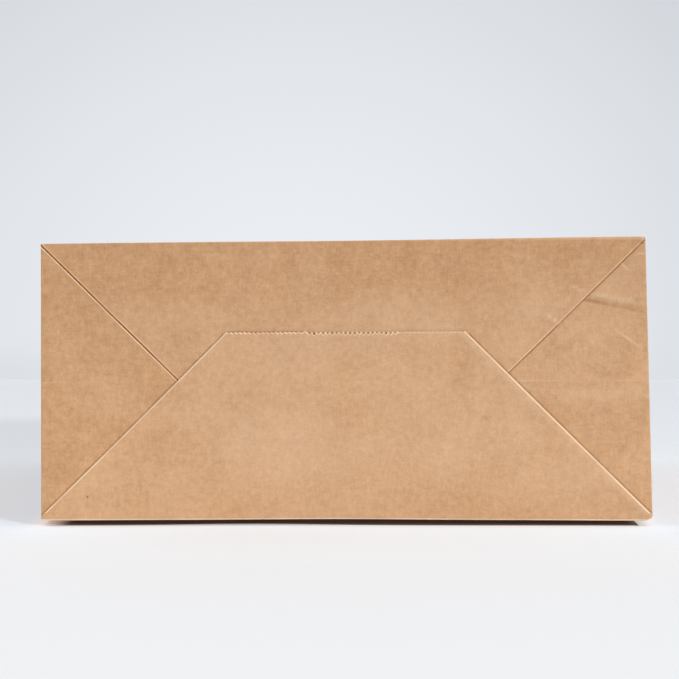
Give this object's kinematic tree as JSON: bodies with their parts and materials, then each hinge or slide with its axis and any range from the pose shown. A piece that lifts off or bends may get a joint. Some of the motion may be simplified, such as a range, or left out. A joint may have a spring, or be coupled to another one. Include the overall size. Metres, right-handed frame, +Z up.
{
  "type": "paper gift bag",
  "caption": "Brown kraft paper gift bag with a folded block bottom and tucked side gussets, opened out and lying on a broad panel, mouth open.",
  "frame": {"origin": "middle of the bag's outline on the surface it lies on, under the resting broad panel", "axes": "+X across the bag, +Y from the folded bottom to the open mouth, +Z up from the resting panel to the upper panel"},
  "size_m": [0.33, 0.406, 0.1545],
  "materials": {
    "kraft_paper": "uncoated brown kraft, matt, with fine fibres and soft mottling"
  },
  "bodies": {
    "root": {"bag": "kraft_paper"}
  },
  "joints": []
}
